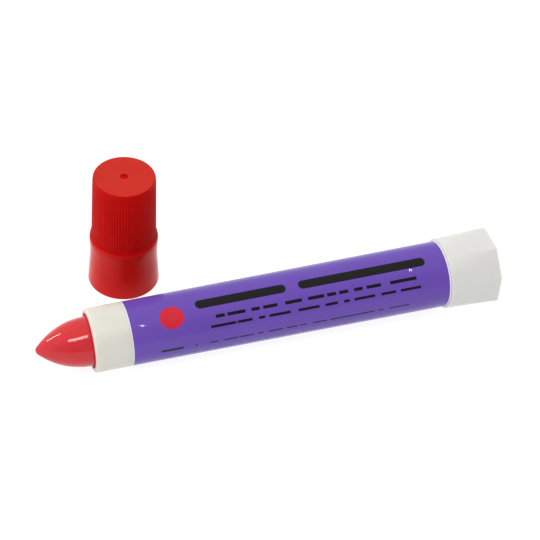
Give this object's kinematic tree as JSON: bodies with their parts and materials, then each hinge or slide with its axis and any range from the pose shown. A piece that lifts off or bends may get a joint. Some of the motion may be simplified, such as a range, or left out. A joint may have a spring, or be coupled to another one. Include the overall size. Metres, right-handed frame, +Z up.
{
  "type": "solid paint marker",
  "caption": "Twist-up solid paint marker lying on a table, with a round barrel, flared octagonal knob, ogive paint point and a ribbed cap standing beside it.",
  "frame": {"origin": "on the table, under the middle of the box round the marker and its cap", "axes": "+X along the marker from the paint point towards the knob, +Y towards the standing cap, +Z up"},
  "size_m": [0.1254, 0.0498, 0.0356],
  "materials": {
    "white_plastic": "satin moulded polypropylene",
    "label_film": "printed film, satin gloss",
    "natural_plastic": "natural moulded acetal",
    "seal_rubber": "matt black",
    "solid_paint": "waxy, soft gloss",
    "red_plastic": "gloss moulded polypropylene",
    "liner_plastic": "soft natural polyethylene"
  },
  "bodies": {
    "barrel": {"barrel": "white_plastic", "barrel_label": "label_film", "screw_bearing": "natural_plastic", "screw_seal": "seal_rubber"},
    "knob": {"twist_knob": "white_plastic", "drive_screw": "natural_plastic", "ratchet_ring": "natural_plastic"},
    "feed": {"stick_carrier": "natural_plastic", "paint_stick": "solid_paint"},
    "cap": {"cap": "red_plastic", "cap_liner": "liner_plastic"}
  },
  "joints": [
    {"name": "knob_twist", "type": "hinge", "parent": "barrel", "child": "knob", "pos_m": [0.04857, -0.01486, 0.00987], "axis": [-0.9999, 0, -0.0148], "range_deg": [0, 3600]},
    {"name": "stick_feed", "type": "slide", "parent": "barrel", "child": "feed", "axis": [-0.9999, 0, -0.0148], "range_m": [0, 0.06]},
    {"name": "cap_lift", "type": "slide", "parent": "barrel", "child": "cap", "axis": [0, 0, 1], "range_m": [0, 0.06]}
  ],
  "couplings": [
    {"joint": "knob_twist", "follows": "stick_feed", "rad_per_m": 1047.2}
  ]
}
